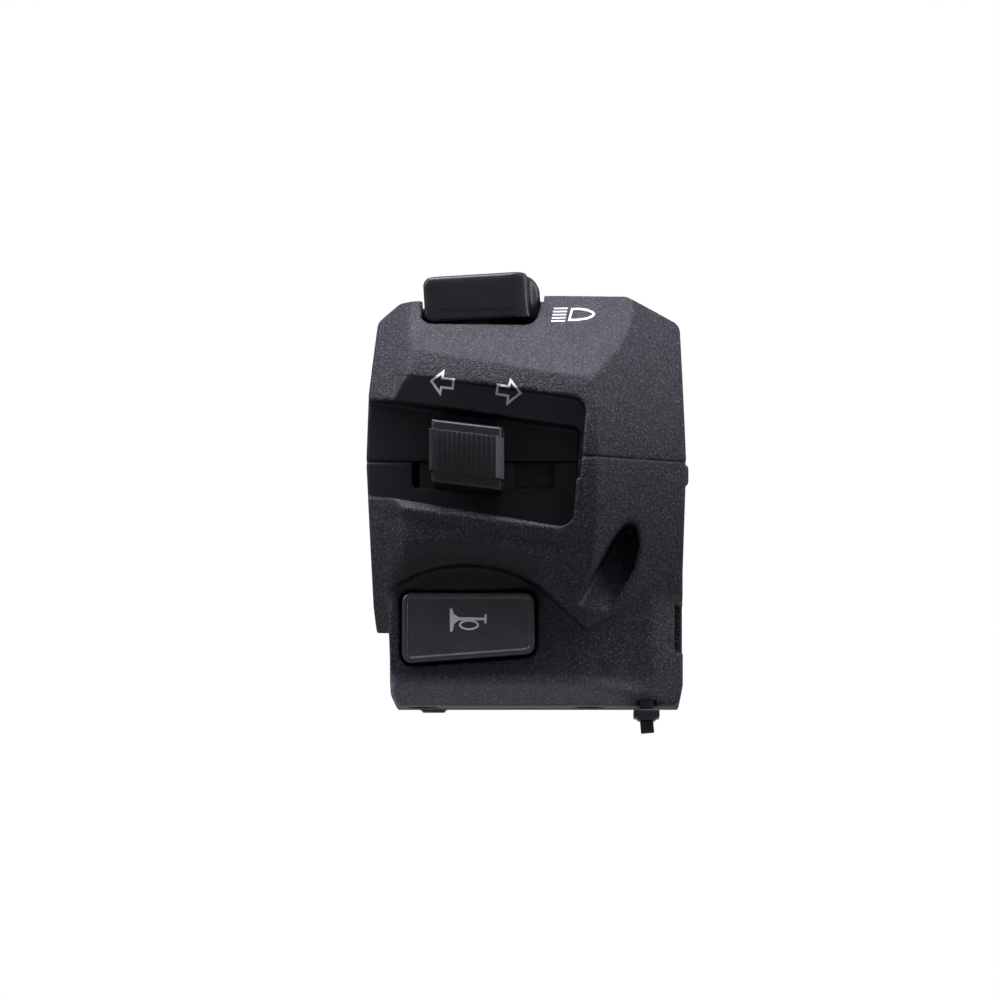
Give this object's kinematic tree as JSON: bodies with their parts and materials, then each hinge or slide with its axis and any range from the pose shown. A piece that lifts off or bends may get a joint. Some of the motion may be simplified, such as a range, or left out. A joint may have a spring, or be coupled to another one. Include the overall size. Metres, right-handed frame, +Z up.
{
  "type": "handlebar switch cluster",
  "caption": "Left-hand motorbike handlebar switch cluster: grained two-part clamp housing with dip rocker, sliding turn-signal knob and horn button.",
  "frame": {"origin": "on the handlebar's axis, midway along the clamp bore, in the plane where the two shells meet", "axes": "+X along the handlebar away from the grip, +Z up towards the dip rocker, -Y towards the rider who sees the controls"},
  "size_m": [0.0581, 0.051, 0.0846],
  "materials": {
    "grained_shell": "matte",
    "satin_button": "satin",
    "gloss_button": "gloss",
    "nylon_tie": "satin",
    "inner_moulding": "matte",
    "brass_contact": "satin",
    "spring_steel": "brushed",
    "print_ink": "matte"
  },
  "bodies": {
    "housing": {"upper_shell": "grained_shell", "lower_shell": "grained_shell", "clamp_screws": "spring_steel", "dip_pivot_pin": "spring_steel", "dip_base": "inner_moulding", "dip_base_screws": "spring_steel", "dip_terminals": "brass_contact", "indicator_base": "inner_moulding", "indicator_base_screws": "spring_steel", "indicator_contacts": "brass_contact", "horn_return_spring": "spring_steel", "horn_base": "inner_moulding", "horn_base_screws": "spring_steel", "horn_terminals": "brass_contact", "cable_tie": "nylon_tie"},
    "dip_lever": {"dip_rocker": "satin_button", "dip_plunger": "inner_moulding", "dip_plunger_spring": "spring_steel"},
    "dip_seesaw": {"dip_seesaw_contact": "brass_contact"},
    "indicator_slider": {"indicator_carriage": "satin_button", "indicator_wiper": "brass_contact", "detent_ball": "spring_steel", "detent_spring": "spring_steel", "knob_return_spring": "spring_steel"},
    "indicator_push": {"indicator_knob": "satin_button"},
    "horn_push": {"horn_button": "gloss_button", "horn_contact_plate": "brass_contact"}
  },
  "joints": [
    {"name": "dip_tip", "type": "hinge", "parent": "housing", "child": "dip_lever", "pos_m": [-0.009, -0.0151, 0.0277], "axis": [0, 1, 0], "range_deg": [0, 7]},
    {"name": "dip_seesaw_tip", "type": "hinge", "parent": "housing", "child": "dip_seesaw", "pos_m": [-0.009, -0.0151, 0.0168], "axis": [0, 1, 0], "range_deg": [-8.5, 0]},
    {"name": "indicator_slide", "type": "slide", "parent": "housing", "child": "indicator_slider", "axis": [1, 0, 0], "range_m": [-0.005, 0.005]},
    {"name": "indicator_cancel", "type": "slide", "parent": "indicator_slider", "child": "indicator_push", "axis": [0, 1, 0], "range_m": [0, 0.0015], "stiffness_N_per_m": 900, "springref_m": -0.003, "deforming": ["knob_return_spring"]},
    {"name": "horn_press", "type": "slide", "parent": "housing", "child": "horn_push", "axis": [0, 1, 0], "range_m": [0, 0.0018], "stiffness_N_per_m": 900, "springref_m": -0.003, "deforming": ["horn_return_spring"]}
  ],
  "couplings": [
    {"joint": "dip_seesaw_tip", "follows": "dip_tip", "ratio": -1.1428}
  ]
}
